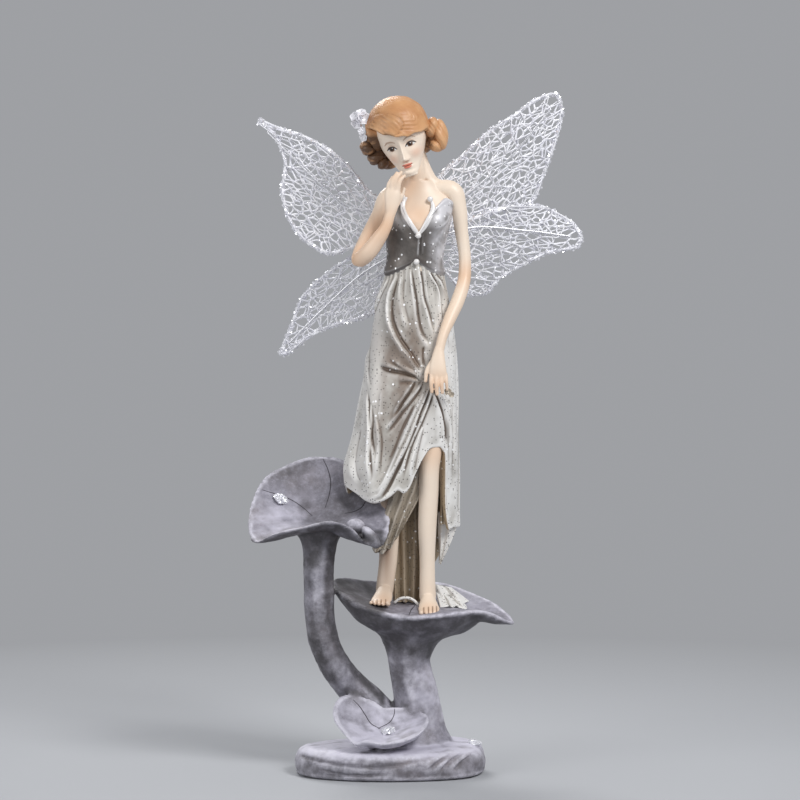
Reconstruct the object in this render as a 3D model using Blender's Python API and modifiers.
"""A winged fairy figurine on a mushroom stand.

Metres, +Z up, the front looks towards -Y. The origin is the middle of the stand's flat underside.
Sizes and places below are in millimetres, in that same frame, and become metres where a mesh is made.
"""

import math
from collections import namedtuple

import bmesh
import bpy
import numpy as np
from mathutils import Vector
from mathutils.geometry import delaunay_2d_cdt

MM = 0.001

# Gaps
CLEARANCE = 0.35
REMESH_ERROR = 0.25  # how far a fused casting's skin may lie from the shape that it was made from
SEAT_GAP = CLEARANCE + REMESH_ERROR

# Stand: the slab
SLAB_WIDTH = 85.0
SLAB_DEPTH = 58.0
SLAB_HEIGHT = 13.0
SLAB_EDGE = 5.0
SLAB_SIDES = 40

# Stand: the caps. Each rim row is an angle seen from above, a radius and a height at the rim.
Cap = namedtuple("Cap", "x y floor dish thickness rim")

LOWER_CAP = Cap(8.0, 2.0, 74.0, 1.6, 3.4, (
    (0, 40, 73.5), (22, 31, 78), (45, 27, 81), (90, 22, 82), (135, 28, 83), (165, 32, 85), (190, 32, 82),
    (212, 28, 77), (240, 23, 71.5), (270, 21, 69.5), (300, 26, 70.5), (318, 31, 72.5), (333, 38, 73), (347, 47, 68)))
TALL_CAP = Cap(-31.0, -8.0, 110.0, 1.7, 2.8, (
    (0, 30.6, 111.8), (30, 28, 124), (60, 25, 136), (90, 24, 139), (125, 27, 135), (150, 29, 129), (180, 31, 113.5),
    (208, 30.3, 104), (222, 27, 107.4), (250, 21.2, 110.5), (270, 20, 112.4), (291, 21.4, 113), (308, 24, 110),
    (323, 26.7, 103.5), (336, 29, 102)))
FRONT_CAP = Cap(-3.5, -17.0, 19.0, 1.5, 2.4, (
    (0, 20, 26), (25, 18.5, 28.5), (50, 13, 30), (90, 8.5, 31), (120, 12, 34.5), (150, 19, 36.5), (180, 20.5, 29),
    (205, 18, 20), (235, 14, 16), (270, 12, 15.5), (300, 14.5, 17), (330, 18, 20)))
CAP_SIDES = 36
CAP_RINGS = 6
# A middle, three half sizes and how far it leans to the left, in degrees
CAP_BUDS = (((-15.0, -14.0, 109.8), (4.4, 4.0, 3.4), 0), ((-8.3, -21.0, 105.6), (2.9, 3.0, 5.8), 38))
CAP_BELLY = ((9.0, 2.5, 64.0), (23.5, 15.5, 7.5))  # the lower cap swells into its stem

# Stand: the stems. Each row is a place on the stem's middle line and the radius there.
LOWER_STEM = (
    ((12.0, 3.0, 7.0), 19.0), ((12.5, 3.0, 14.0), 15.5), ((12.5, 3.0, 23.0), 11.5), ((11.5, 3.0, 33.0), 9.8),
    ((9.5, 2.5, 43.0), 9.2), ((8.0, 2.0, 51.0), 9.2), ((8.0, 3.0, 57.0), 10.6), ((8.0, 3.5, 63.0), 12.8),
    ((8.0, 3.5, 67.0), 14.5), ((8.0, 3.5, 70.4), 15.5))
TALL_STEM = (
    ((1.0, 6.0, 17.0), 10.5), ((-8.0, 5.0, 28.0), 8.4), ((-17.0, 2.5, 38.0), 7.3), ((-24.0, -1.0, 47.0), 6.8),
    ((-28.5, -4.0, 57.0), 6.6), ((-30.8, -6.5, 70.0), 6.6), ((-31.2, -8.0, 85.0), 6.8), ((-31.0, -8.0, 98.0), 7.4),
    ((-31.0, -7.5, 104.0), 8.6), ((-31.0, -7.0, 108.0), 10.5))
FRONT_STEM = (((-3.5, -11.0, 6.0), 9.0), ((-3.5, -13.0, 11.0), 6.5), ((-3.5, -16.0, 17.8), 7.0))
STEM_POINTS = 13

# Figure: body and dress. Each row is a height, the middle's x and y, half the width and half the depth.
WAIST = 227.0
BODY = (
    (70.0, 7.0, 0.5, 12.5, 10.5), (88.0, 8.0, 2.0, 17.0, 12.5), (105.0, 7.5, 3.5, 21.5, 15.5),
    (122.0, 5.8, 4.0, 24.0, 17.2), (136.0, 5.6, 4.0, 24.6, 17.2), (150.0, 7.2, 4.0, 23.0, 16.6),
    (168.0, 8.6, 4.0, 21.4, 15.8), (187.0, 9.6, 3.5, 19.2, 14.2), (208.0, 10.3, 3.0, 16.0, 12.0),
    (218.0, 10.8, 2.3, 13.3, 10.2), (WAIST, 11.0, 1.5, 11.6, 8.8), (234.0, 11.5, 1.0, 12.3, 9.4),
    (241.0, 12.2, 1.0, 13.2, 10.2), (247.5, 12.8, 1.4, 13.8, 9.0), (253.0, 13.2, 1.6, 13.6, 7.4),
    (257.5, 12.6, 1.2, 9.6, 5.8), (262.0, 12.0, 0.8, 6.4, 5.0))
# Where the skirt ends, by the angle seen from above: it is lifted off the knee in front and trails behind.
HEM = (
    (0, 109), (20, 108.5), (36, 105.5), (44, 98.6), (50, 92.5), (58, 82), (66, 77.6), (90, 77.6), (107, 77.4),
    (115, 86), (123, 95), (137, 100), (155, 112), (172, 124), (190, 127), (210, 124.5), (225, 121.5), (240, 120.6),
    (250, 122), (258, 124), (265, 126.3), (271, 125), (277, 127.5), (283, 133.5), (289, 139.5), (296, 144),
    (303, 145), (309, 144), (312.5, 139), (317, 116), (322, 110.5), (340, 109.5))
SKIRT_WALL = 2.4
SKIRT_CEILING = 153.0
SKIRT_PLEATS = 11
PLEAT_DEPTH = 0.9
BODY_SIDES = 72

# Figure: limbs. Each row is a place on the limb's middle line and the radius there.
NECK = (((12.4, 1.2, 255.0), 5.6), ((11.6, 0.6, 261.0), 5.1), ((10.0, -1.0, 269.0), 5.0))
RIGHT_ARM = (
    ((1.5, 2.0, 252.0), 4.6), ((-3.5, 1.0, 245.0), 4.0), ((-9.5, -1.5, 233.5), 3.6), ((-13.6, -5.0, 226.0), 3.6),
    ((-9.5, -9.5, 228.5), 3.5), ((-4.0, -12.5, 236.0), 3.1), ((0.2, -14.5, 246.0), 2.4), ((1.0, -15.0, 252.0), 3.0),
    ((2.2, -14.6, 258.0), 2.4), ((3.4, -13.8, 261.5), 1.5))
LEFT_ARM = (
    ((26.6, 1.8, 251.5), 4.8), ((30.4, 2.0, 244.0), 3.7), ((32.0, 1.8, 231.0), 3.3), ((32.0, 0.0, 214.0), 3.5),
    ((29.6, -5.0, 203.0), 3.4), ((25.6, -10.5, 193.5), 2.7), ((22.8, -14.5, 187.0), 2.5), ((21.0, -17.2, 180.0), 3.6),
    ((19.6, -17.0, 173.0), 2.8), ((19.0, -15.4, 169.5), 1.8))
RIGHT_LEG = (
    ((3.0, 4.0, 156.0), 6.0), ((0.5, 3.0, 128.0), 5.0), ((-1.2, 2.5, 105.0), 4.2), ((-1.8, 2.5, 90.0), 3.2),
    ((-2.0, 1.5, 81.0), 3.7), ((-3.6, -2.0, 78.0), 3.3), ((-5.6, -6.0, 76.4), 3.0), ((-6.6, -9.0, 75.4), 2.0))
LEFT_LEG = (
    ((15.0, 0.0, 158.0), 6.5), ((18.0, -5.0, 140.0), 5.4), ((17.2, -4.5, 124.0), 4.8), ((16.6, -3.0, 106.0), 4.3),
    ((16.2, -2.0, 88.0), 3.4), ((16.2, -3.0, 79.0), 3.9), ((16.6, -8.0, 75.4), 3.9), ((17.0, -12.5, 73.8), 3.6),
    ((17.2, -15.5, 73.0), 2.0))
LIMB_POINTS = 24

# Figure: head and hair. Each row is a middle and three half sizes.
HEAD_ROLL = math.radians(-18.0)
FACE = ((6.0, -3.0, 279.0), (10.6, 11.6, 14.4))
JAW = ((8.6, -6.5, 270.5), (6.6, 6.6, 6.0))
NOSE = ((6.4, -14.2, 276.2), (1.3, 2.2, 2.2))
HAIR = ((5.4, -0.5, 285.0), (14.2, 14.2, 13.9))
CURLS = (
    ((20.5, -3.0, 284.0), (5.2, 5.4, 6.4)), ((21.8, -1.5, 275.5), (4.4, 5.2, 5.4)), ((16.5, 7.0, 275.0), (6.0, 5.6, 6.6)),
    ((8.0, 10.0, 273.0), (6.8, 5.0, 6.6)), ((-1.5, 8.0, 272.0), (6.0, 5.4, 6.0)), ((-8.0, 1.0, 274.5), (4.6, 5.6, 6.4)),
    ((-7.4, -5.0, 278.5), (3.4, 4.4, 5.2)))
LACE_HEAP = (((22.0, 8.5, 78.0), (8.0, 6.0, 3.6)), ((31.0, 4.5, 75.8), (7.5, 5.0, 3.0)))
FUSE_VOXEL = 1.1
FIGURE_KEEP = 0.11

# Wings: x and z of the edge and of the rib as seen from the front, and the depth behind the back.
Wing = namedtuple("Wing", "name root_y sweep fold seed rib outline")
SWEEP = 0.28
WINGS = (
    Wing("upper_left", 14.0, SWEEP, -0.12, 3,
         ((9, 243), (-5, 248), (-19, 251), (-27, 257), (-42, 271), (-58, 287)),
         ((6, 250), (-7, 257), (-18, 270), (-33, 281), (-52, 288), (-60, 290), (-54, 283), (-49, 271), (-50, 256),
          (-46, 243), (-39, 234), (-27, 228), (-16, 231), (4, 238))),
    Wing("lower_left", 18.0, SWEEP, 0.15, 5,
         ((9, 233), (-12, 221), (-30, 205), (-48, 187)),
         ((4, 239), (-10, 234), (-22, 227), (-33, 219), (-42, 209), (-46, 198), (-50, 188), (-51, 184), (-47, 183),
          (-40, 188), (-32, 193), (-21, 197), (-10, 200), (1, 208), (7, 225))),
    Wing("upper_right", 18.0, SWEEP, 0.15, 7,
         ((14, 243), (30, 253), (52, 271), (75, 298)),
         ((12, 250), (20, 264), (33, 276), (44, 286), (56, 294), (66, 301), (76, 303), (79, 296), (77, 284), (74, 274),
          (70, 263), (66, 253), (48, 243), (16, 239))),
    Wing("lower_right", 14.0, SWEEP, 0.3, 9,
         ((14, 234), (36, 241), (60, 240), (85, 237)),
         ((17, 239), (40, 248), (58, 253), (70, 252), (78, 248), (85, 243), (88, 237), (86, 232), (79, 230), (70, 228),
          (60, 223), (51, 218), (43, 210), (35, 210), (27, 216), (19, 228))),
)
NET_CELL = 7.5
NET_STRAND = 1.1
NET_JITTER = 0.28
NET_MERGE = 1.3
WIRE_RADIUS = 0.5
SOCKET_END = 6.5  # y of a socket's bottom
RIB_SHARE = 0.94  # how much of the rib line the wire follows

# Ornaments that are glued on: a middle, or a place on a cap, and a radius
FLOWER = (-14.2, -3.5, 287.2)
FLOWER_RADIUS = 4.2
PEARL_RADIUS = 0.9
PEARLS = {"pearl_neck_left": (5.4, 253.6), "pearl_neck_right": (17.6, 252.6), "pearl_bust": (12.4, 236.6),
          "pearl_waist": (11.6, 225.2)}
CLUSTER_RADIUS = 3.2
CLUSTERS = {"sparkle_tall_cap": (TALL_CAP, 148.0, 0.70), "sparkle_front_cap": (FRONT_CAP, 40.0, 0.24)}
SLAB_SPARKLE_INSET = 5.2  # from the slab's right end
SLAB_SPARKLE_Y = -3.0

# Colours: red, green, blue, roughness, metallic
STONE = (0.33, 0.32, 0.36, 0.7, 0.0)
PAINTED = (0.66, 0.62, 0.56, 0.45, 0.0)
NET_WHITE = (0.83, 0.83, 0.88, 0.4, 0.0)
WIRE_SILVER = (0.75, 0.75, 0.78, 0.3, 0.9)
SPARKLE = (0.82, 0.82, 0.85, 0.25, 0.8)


def clear_scene():
    for obj in list(bpy.data.objects):
        bpy.data.objects.remove(obj, do_unlink=True)


def make_collection(name):
    made = bpy.data.collections.new(name)
    bpy.context.scene.collection.children.link(made)
    return made


def material(name, look):
    red, green, blue, roughness, metallic = look
    made = bpy.data.materials.new(name)
    made.use_nodes = True
    shader = made.node_tree.nodes["Principled BSDF"]
    shader.inputs["Base Color"].default_value = (red, green, blue, 1.0)
    shader.inputs["Roughness"].default_value = roughness
    shader.inputs["Metallic"].default_value = metallic
    return made


def place(name, mesh, collection):
    obj = bpy.data.objects.new(name, mesh)
    collection.objects.link(obj)
    return obj


def as_helper(obj):
    """A cutter or a shape that a Boolean joins: it stays out of the render."""
    obj.hide_render = True
    obj.display_type = "WIRE"
    return obj


def smooth(x, keys_x, keys_y, period=None):
    """The height at x of a smooth curve through the keys: a cubic between each two, with their mean slopes."""
    key_x = np.asarray(keys_x, float)
    key_y = np.asarray(keys_y, float)
    x = np.asarray(x, float)
    if period:
        key_x = np.concatenate([key_x[-2:] - period, key_x, key_x[:2] + period])
        key_y = np.concatenate([key_y[-2:], key_y, key_y[:2]])
        x = np.mod(x, period)
    slope = np.gradient(key_y, key_x)
    i = np.clip(np.searchsorted(key_x, x, side="right") - 1, 0, len(key_x) - 2)
    step = key_x[i + 1] - key_x[i]
    t = np.clip((x - key_x[i]) / step, 0, 1)
    return ((1 + 2 * t) * (1 - t) ** 2 * key_y[i] + t * (1 - t) ** 2 * step * slope[i]
            + t * t * (3 - 2 * t) * key_y[i + 1] + t * t * (t - 1) * step * slope[i + 1])


def smooth_line(points, count):
    """count points, evenly apart, on a smooth line through the points, in any number of dimensions."""
    points = np.asarray(points, float)
    along = np.concatenate([[0], np.cumsum(np.linalg.norm(np.diff(points, axis=0), axis=1))])
    at = np.linspace(0, along[-1], count)
    return np.stack([smooth(at, along, column) for column in points.T], axis=1)


def loft(name, rings, collection, closed_end=True):
    """A skin through the rings, an array of rings by sides by 3. Its ends are closed with fans of triangles."""
    rings = np.asarray(rings, float)
    count, sides = rings.shape[:2]
    points = [tuple(p * MM) for p in rings.reshape(-1, 3)]
    faces = []
    for r in range(count - 1):
        for s in range(sides):
            t = (s + 1) % sides
            faces.append((r * sides + s, r * sides + t, (r + 1) * sides + t, (r + 1) * sides + s))
    ends = (0, count - 1) if closed_end else (0,)
    for ring in ends:
        points.append(tuple(rings[ring].mean(axis=0) * MM))
        for s in range(sides):
            t = (s + 1) % sides
            faces.append((ring * sides + t, ring * sides + s, len(points) - 1))
    mesh = bpy.data.meshes.new(name)
    mesh.from_pydata(points, [], faces)
    work = bmesh.new()
    work.from_mesh(mesh)
    bmesh.ops.recalc_face_normals(work, faces=work.faces)
    work.to_mesh(mesh)
    work.free()
    return place(name, mesh, collection)


def tube(name, rows, count, collection, sides=3):
    """A round rod along rows of (place, radius): a curve with a bevel, made a mesh so that it can be joined."""
    line = smooth_line([(*middle, radius) for middle, radius in rows], count)
    curve = bpy.data.curves.new(name, "CURVE")
    curve.dimensions = "3D"
    curve.bevel_depth = MM
    curve.bevel_resolution = sides
    curve.use_fill_caps = True
    spline = curve.splines.new("POLY")
    spline.points.add(count - 1)
    for point, (x, y, z, radius) in zip(spline.points, line):
        point.co = (x * MM, y * MM, z * MM, 1.0)
        point.radius = radius
    holder = place(name + "_line", curve, collection)
    bpy.context.view_layer.update()
    mesh = bpy.data.meshes.new_from_object(holder.evaluated_get(bpy.context.evaluated_depsgraph_get()))
    work = bmesh.new()
    work.from_mesh(mesh)
    bmesh.ops.remove_doubles(work, verts=work.verts, dist=1e-6)
    bmesh.ops.recalc_face_normals(work, faces=work.faces)
    work.to_mesh(mesh)
    work.free()
    made = place(name, mesh, collection)
    made.matrix_world = holder.matrix_world.copy()
    bpy.data.objects.remove(holder, do_unlink=True)
    return made


def ball(name, middle, half_sizes, collection, across=16, up=10, roll=0.0):
    """A sphere stretched to three half sizes, and turned about the front-to-back axis."""
    bpy.ops.mesh.primitive_uv_sphere_add(segments=across, ring_count=up, radius=MM)
    obj = bpy.context.object
    obj.name = name
    obj.scale = half_sizes
    obj.rotation_euler = (0.0, roll, 0.0)
    obj.location = [value * MM for value in middle]
    bpy.context.view_layer.update()
    obj.data.transform(obj.matrix_world)
    obj.matrix_world.identity()
    for holder in list(obj.users_collection):
        holder.objects.unlink(obj)
    collection.objects.link(obj)
    return obj


def join(name, parts, collection):
    """One mesh object that holds the parts' meshes, which go."""
    work = bmesh.new()
    for part in parts:
        work.from_mesh(part.data)
        bpy.data.objects.remove(part, do_unlink=True)
    mesh = bpy.data.meshes.new(name)
    work.to_mesh(mesh)
    work.free()
    return place(name, mesh, collection)


def fuse(obj, voxel, keep):
    """Melts overlapping shapes into one skin, then thins its triangles."""
    remesh = obj.modifiers.new("fuse", "REMESH")
    remesh.mode = "VOXEL"
    remesh.voxel_size = voxel * MM
    thin = obj.modifiers.new("thin", "DECIMATE")
    thin.ratio = keep


def boolean(obj, operation, other):
    step = obj.modifiers.new(f"{operation.lower()}_{other.name}", "BOOLEAN")
    step.operation = operation
    step.solver = "EXACT"
    step.object = other


def finish(obj, look, angle=40.0):
    """Gives the object its material, and smooth shading with sharp edges kept."""
    obj.data.materials.clear()
    obj.data.materials.append(look)
    obj.data.shade_smooth()
    obj.data.set_sharp_from_angle(angle=math.radians(angle))


# The caps


def cap_column(cap, column):
    return [row[column] for row in cap.rim]


def cap_radius(cap, angle):
    return smooth(angle, cap_column(cap, 0), cap_column(cap, 1), 360.0)


def cap_point(cap, angle, share):
    """A place on a cap's upper face: share is 0 in the middle and 1 at the rim, which rises as share to a power."""
    angle, share = np.broadcast_arrays(np.asarray(angle, float), np.asarray(share, float))
    radius = cap_radius(cap, angle) * share
    rim = smooth(angle, cap_column(cap, 0), cap_column(cap, 2), 360.0)
    turn = np.radians(angle)
    return np.stack([cap.x + radius * np.cos(turn), cap.y + radius * np.sin(turn),
                     cap.floor + (rim - cap.floor) * share ** cap.dish], axis=-1)


def cap_shell(name, cap, collection, grow=0.0):
    """A cap as a dished disc with a thickness. grow moves every face of it outwards, for a cutter."""
    angle = np.arange(CAP_SIDES) * 360.0 / CAP_SIDES
    reach = 1.0 + grow / cap_radius(cap, angle)
    shares = np.linspace(0, 1, CAP_RINGS + 1)[1:]
    rings = [cap_point(cap, angle, share * reach) for share in shares]
    obj = loft(name, rings, collection, closed_end=False)
    whole = cap.thickness + 2 * grow
    wall = obj.modifiers.new("thickness", "SOLIDIFY")
    wall.thickness = whole * MM
    wall.offset = 2 * grow / whole - 1
    wall.use_even_offset = True
    return obj


def cap_normal(cap, angle, share):
    """The way a cap's upper face looks, from two short steps on it."""
    small = 0.02
    outward = cap_point(cap, angle, share + small) - cap_point(cap, angle, share - small)
    around = cap_point(cap, angle + 1, share) - cap_point(cap, angle - 1, share)
    normal = np.cross(outward, around)
    return normal / np.linalg.norm(normal)


# The stand


def make_slab(name, collection):
    bpy.ops.mesh.primitive_cylinder_add(vertices=SLAB_SIDES, radius=0.5, depth=1.0, location=(0, 0, 0.5))
    obj = bpy.context.object
    obj.name = name
    for vertex in obj.data.vertices:
        vertex.co = (vertex.co.x * SLAB_WIDTH * MM, vertex.co.y * SLAB_DEPTH * MM,
                     (vertex.co.z + 0.5) * SLAB_HEIGHT * MM)
    obj.location = (0, 0, 0)
    for holder in list(obj.users_collection):
        holder.objects.unlink(obj)
    collection.objects.link(obj)
    edge = obj.modifiers.new("rounded_edge", "BEVEL")
    edge.width = SLAB_EDGE * MM
    edge.segments = 3
    edge.angle_limit = math.radians(60)
    return obj


def make_stand(parts, helpers, look):
    """The slab with its two stems, three caps and two small buds, cast as one."""
    stand = make_slab("mushroom_stand", parts)
    joined = [
        tube("lower_stem_shape", LOWER_STEM, STEM_POINTS, helpers, 5),
        tube("tall_stem_shape", TALL_STEM, STEM_POINTS, helpers, 4),
        tube("front_stem_shape", FRONT_STEM, 5, helpers, 3),
        cap_shell("lower_cap_shape", LOWER_CAP, helpers),
        cap_shell("tall_cap_shape", TALL_CAP, helpers),
        cap_shell("front_cap_shape", FRONT_CAP, helpers),
    ]
    for i, (middle, half_sizes, lean) in enumerate(CAP_BUDS):
        joined.append(ball(f"bud_shape_{i + 1}", middle, half_sizes, helpers, 12, 7, -math.radians(lean)))
    joined.append(ball("cap_belly_shape", *CAP_BELLY, helpers, 28, 14))
    for shape in joined:
        boolean(stand, "UNION", as_helper(shape))
    finish(stand, look)
    return stand


# The figure


def body_section(height):
    """Middle x, middle y, half width and half depth of the body at a height."""
    heights = [row[0] for row in BODY]
    return [smooth(height, heights, [row[i] for row in BODY]) for i in range(1, 5)]


def dress_ring(angle, height, inset=0.0):
    """A ring round the body. Below the waist the skirt's pleats swing it in and out."""
    x, y, half_width, half_depth = body_section(height)
    fullness = np.clip((WAIST - height) / (WAIST - SKIRT_CEILING), 0, 1)
    pleat = PLEAT_DEPTH * fullness * np.cos(SKIRT_PLEATS * np.radians(angle) + height / 22.0)
    turn = np.radians(angle)
    return np.stack([x + (half_width + pleat - inset) * np.cos(turn),
                     y + (half_depth + pleat - inset) * np.sin(turn), height + 0 * turn], axis=-1)


def make_body(collection):
    """From the neck down to the hem, then up the inside of the skirt to the solid part above the knees."""
    angle = np.arange(BODY_SIDES) * 360.0 / BODY_SIDES
    hem = smooth(angle, [row[0] for row in HEM], [row[1] for row in HEM], 360.0)
    top = BODY[-1][0]
    rings = [dress_ring(angle, np.full(BODY_SIDES, z)) for z in np.linspace(top, WAIST, 12)]
    rings += [dress_ring(angle, WAIST + (hem - WAIST) * share) for share in np.linspace(0, 1, 26)[1:]]
    rings += [dress_ring(angle, hem + (SKIRT_CEILING - hem) * share, SKIRT_WALL) for share in np.linspace(0, 1, 8)]
    return loft("body_shape", rings, collection)


def make_head(collection):
    parts = [ball("face_shape", *FACE, collection, 24, 16, HEAD_ROLL), ball("jaw_shape", *JAW, collection, 16, 12),
             ball("nose_shape", *NOSE, collection, 10, 8, HEAD_ROLL),
             ball("hair_shape", *HAIR, collection, 28, 18, HEAD_ROLL)]
    for i, (middle, half_sizes) in enumerate(CURLS):
        parts.append(ball(f"curl_shape_{i + 1}", middle, half_sizes, collection, 14, 10))
    return parts


def make_figure(parts, helpers, look):
    """The fairy, cast as one: body, dress, limbs, head and hair, cut to sit on the caps."""
    shapes = [make_body(helpers), *make_head(helpers)]
    for name, rows in (("neck", NECK), ("right_arm", RIGHT_ARM), ("left_arm", LEFT_ARM), ("right_leg", RIGHT_LEG),
                       ("left_leg", LEFT_LEG)):
        shapes.append(tube(name + "_shape", rows, LIMB_POINTS, helpers, 4))
    for i, (middle, half_sizes) in enumerate(LACE_HEAP):
        shapes.append(ball(f"lace_shape_{i + 1}", middle, half_sizes, helpers))
    figure = join("fairy_figure", shapes, parts)
    fuse(figure, FUSE_VOXEL, FIGURE_KEEP)
    for name, cap in (("lower_cap_room", LOWER_CAP), ("tall_cap_room", TALL_CAP)):
        boolean(figure, "DIFFERENCE", as_helper(cap_shell(name, cap, helpers, CLEARANCE)))
    for wing in WINGS:
        x, z = wing.rib[0]
        rows = (((x, SOCKET_END, z), WIRE_RADIUS + CLEARANCE), ((x, wing.root_y + 2, z), WIRE_RADIUS + CLEARANCE))
        boolean(figure, "DIFFERENCE", as_helper(tube(f"socket_{wing.name}", rows, 2, helpers, 2)))
    finish(figure, look)
    return figure


# The wings


def nearest_on(line, points):
    """For each point, the nearest place on the line of points, and how far off it is."""
    start, step = line[:-1], np.diff(line, axis=0)
    t = np.einsum("pld,ld->pl", points[:, None] - start[None], step) / (step ** 2).sum(1)
    spots = start[None] + np.clip(t, 0, 1)[..., None] * step[None]
    distance = np.linalg.norm(points[:, None] - spots, axis=2)
    best = distance.argmin(1)
    rows = np.arange(len(points))
    return spots[rows, best], distance[rows, best]


def wing_edge(wing, count=90):
    """The wing's outline as a closed, smooth line."""
    return smooth_line([*wing.outline, wing.outline[0]], count)


def inside(edge, points):
    """Whether each point lies within the closed edge, by counting the sides that a line to the right crosses."""
    x, z = points[:, :1], points[:, 1:]
    x1, z1 = edge[:-1].T
    x2, z2 = edge[1:].T
    crosses = (z1 > z) != (z2 > z)
    at = x1 + (z - z1) * (x2 - x1) / np.where(z2 == z1, 1e-9, z2 - z1)
    return (crosses & (x < at)).sum(1) % 2 == 1


def wing_depth(wing, flat):
    """y of the wing at x, z: it sweeps back from the root, and folds along its rib."""
    _, off = nearest_on(smooth_line(wing.rib, 40), flat)
    return wing.root_y + wing.sweep * np.abs(flat[:, 0] - wing.rib[0][0]) + wing.fold * (np.sqrt(off ** 2 + 4) - 2)


def net_cells(wing):
    """The net's cells: the regions nearest to each point of a shaken triangular lattice, up to the wing's edge.

    Each point near the edge gets a mirror point across it, so that the cells end there. The cells' corners are the
    circumcentres of the triangles between neighbouring points.
    """
    edge = wing_edge(wing)
    low, high = edge.min(0), edge.max(0)
    columns = np.arange(low[0], high[0] + NET_CELL, NET_CELL)
    rows = np.arange(low[1], high[1] + NET_CELL, NET_CELL * 0.87)
    x, z = np.meshgrid(columns, rows)
    x = x + (np.arange(len(rows)) % 2)[:, None] * NET_CELL / 2
    rng = np.random.default_rng(wing.seed)
    points = np.stack([x.ravel(), z.ravel()], 1) + rng.uniform(-1, 1, (x.size, 2)) * NET_CELL * NET_JITTER
    points = points[inside(edge, points)]
    spots, distance = nearest_on(edge, points)
    points = points[distance > NET_CELL * 0.25]
    spots, distance = nearest_on(edge, points)
    near = distance < NET_CELL * 1.8
    every = np.concatenate([points, 2 * spots[near] - points[near]])
    found = delaunay_2d_cdt([Vector(p) for p in every], [], [], 0, 1e-5)
    triangles = np.array([[found[3][v][0] for v in face] for face in found[2]])
    a, b, c = (every[triangles[:, i]] for i in range(3))
    ab, ac = b - a, c - a
    cross = 2 * (ab[:, 0] * ac[:, 1] - ab[:, 1] * ac[:, 0])
    cross = np.where(np.abs(cross) < 1e-9, 1e-9, cross)
    ab2, ac2 = (ab ** 2).sum(1), (ac ** 2).sum(1)
    centre = a + np.stack([ac[:, 1] * ab2 - ab[:, 1] * ac2, ab[:, 0] * ac2 - ac[:, 0] * ab2], 1) / cross[:, None]
    outside = ~inside(edge, centre)
    centre[outside] = nearest_on(edge, centre[outside])[0]
    cells = []
    for i, point in enumerate(points):
        around = np.nonzero((triangles == i).any(1))[0]
        away = a[around] + b[around] + c[around] - 3 * point
        cells.append(around[np.argsort(np.arctan2(away[:, 1], away[:, 0]))])
    return centre, cells


def make_net(wing, collection, look):
    """A wing's open web of strands: its cells as flat faces, of which the Wireframe modifier keeps the edges."""
    flat, cells = net_cells(wing)
    depth = wing_depth(wing, flat)
    mesh = bpy.data.meshes.new("net")
    points = np.stack([flat[:, 0], depth, flat[:, 1]], 1) * MM
    mesh.from_pydata([tuple(p) for p in points], [], [tuple(int(i) for i in cell) for cell in cells])
    work = bmesh.new()
    work.from_mesh(mesh)
    bmesh.ops.delete(work, geom=[v for v in work.verts if not v.link_faces], context="VERTS")
    bmesh.ops.remove_doubles(work, verts=work.verts, dist=NET_MERGE * MM)
    bmesh.ops.recalc_face_normals(work, faces=work.faces)
    work.to_mesh(mesh)
    work.free()
    obj = place(f"wing_net_{wing.name}", mesh, collection)
    strands = obj.modifiers.new("strands", "WIREFRAME")
    strands.thickness = NET_STRAND * MM
    strands.use_even_offset = False
    strands.use_boundary = True
    finish(obj, look)
    return obj


def make_wire(wing, collection, look):
    """The wing's rib wire: out of its socket in the back, then along the front of the net towards the tip."""
    rib = smooth_line(wing.rib, 30)
    rib = rib[: int(round(len(rib) * RIB_SHARE))]
    lift = NET_STRAND / 2 + CLEARANCE + WIRE_RADIUS + 0.1
    depth = wing_depth(wing, rib) - lift
    x, z = wing.rib[0]
    stem_end = SOCKET_END + CLEARANCE
    stem_out = wing.root_y - lift - 1.5
    along = np.stack([rib[:, 0], depth, rib[:, 1]], 1)
    bend = 3
    route = np.concatenate([[(x, stem_end, z), (x, (stem_end + stem_out) / 2, z), (x, stem_out, z)], along[bend:]])
    rows = [(tuple(point), WIRE_RADIUS) for point in route]
    obj = tube(f"wing_wire_{wing.name}", rows, 34, collection, 1)
    finish(obj, look)
    return obj


# Ornaments


def make_flower(collection, helpers, look):
    """A small rose of overlapping petals beside the hair, cut to lie against it."""
    x, y, z = FLOWER
    shapes = [ball("flower_heart", FLOWER, [FLOWER_RADIUS * 0.62] * 3, helpers, 12, 8)]
    for i in range(6):
        turn = math.radians(60 * i + 15)
        middle = (x - 0.4, y + 0.55 * FLOWER_RADIUS * math.cos(turn), z + 0.55 * FLOWER_RADIUS * math.sin(turn))
        shapes.append(ball(f"petal_{i + 1}", middle, [FLOWER_RADIUS * 0.45] * 3, helpers, 10, 7))
    shapes.append(ball("flower_leaf", (x + 2.4, y - 0.2, z - 6.6), (1.7, 1.6, 3.6), helpers, 10, 8))
    flower = join("hair_flower", shapes, collection)
    fuse(flower, 0.6, 0.3)
    for i, (middle, half_sizes, roll) in enumerate(((*HAIR, HEAD_ROLL), (*CURLS[-1], 0), (*CURLS[-2], 0))):
        room = ball(f"hair_room_{i + 1}", middle, [half + SEAT_GAP for half in half_sizes], helpers, 28, 18, roll)
        boolean(flower, "DIFFERENCE", as_helper(room))
    finish(flower, look)
    return flower


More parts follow.
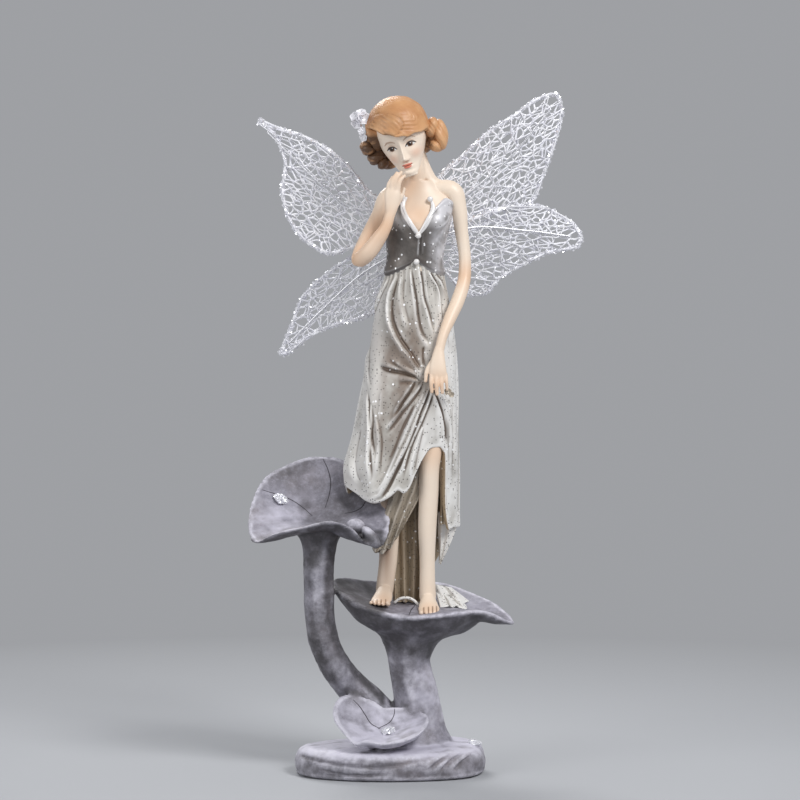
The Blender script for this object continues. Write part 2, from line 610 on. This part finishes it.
def make_pearl(name, x, z, collection, look):
    """A bead on the front of the bodice."""
    middle_x, middle_y, half_width, half_depth = body_section(z)
    front = middle_y - half_depth * math.sqrt(1 - ((x - middle_x) / half_width) ** 2)
    place_y = front - PEARL_RADIUS - SEAT_GAP
    pearl = ball(name, (x, place_y, z), [PEARL_RADIUS] * 3, collection, 10, 7)
    finish(pearl, look)
    return pearl


def make_cluster(name, middle, normal, collection, look):
    """A knot of sparkling beads: one in the middle and six round it, in a plane across the normal."""
    normal = Vector(normal)
    across = normal.orthogonal().normalized()
    other = normal.cross(across)
    bead = CLUSTER_RADIUS * 0.42
    shapes = [ball(name + "_bead", middle, [bead] * 3, collection, 10, 7)]
    for i in range(6):
        turn = math.radians(60 * i)
        spot = Vector(middle) + (across * math.cos(turn) + other * math.sin(turn)) * (CLUSTER_RADIUS - bead)
        shapes.append(ball(f"{name}_bead_{i}", spot, [bead] * 3, collection, 10, 7))
    cluster = join(name, shapes, collection)
    fuse(cluster, 0.55, 0.35)
    finish(cluster, look)
    return cluster


def make_cap_cluster(name, collection, helpers, look):
    cap, angle, share = CLUSTERS[name]
    normal = cap_normal(cap, angle, share)
    height = CLUSTER_RADIUS * 0.42 + CLEARANCE * 0.6
    cluster = make_cluster(name, cap_point(cap, angle, share) + normal * height, normal, collection, look)
    boolean(cluster, "DIFFERENCE", as_helper(cap_shell(name + "_room", cap, helpers, CLEARANCE)))
    return cluster


def main():
    clear_scene()
    parts = make_collection("fairy_figurine")
    helpers = make_collection("cutters")
    stone = material("painted_stone_resin", STONE)
    painted = material("painted_figure_resin", PAINTED)
    net_white = material("net_white", NET_WHITE)
    silver = material("wire_silver", WIRE_SILVER)
    sparkle = material("sparkle", SPARKLE)

    make_stand(parts, helpers, stone)
    make_figure(parts, helpers, painted)
    for wing in WINGS:
        make_net(wing, parts, net_white)
        make_wire(wing, parts, silver)
    make_flower(parts, helpers, sparkle)
    for name, (x, z) in PEARLS.items():
        make_pearl(name, x, z, parts, sparkle)
    for name in CLUSTERS:
        make_cap_cluster(name, parts, helpers, sparkle)
    bead = CLUSTER_RADIUS * 0.42
    slab_spot = (SLAB_WIDTH / 2 - SLAB_SPARKLE_INSET, SLAB_SPARKLE_Y, SLAB_HEIGHT + CLEARANCE + bead)
    make_cluster("sparkle_slab", slab_spot, (0, 0, 1), parts, sparkle)


main()
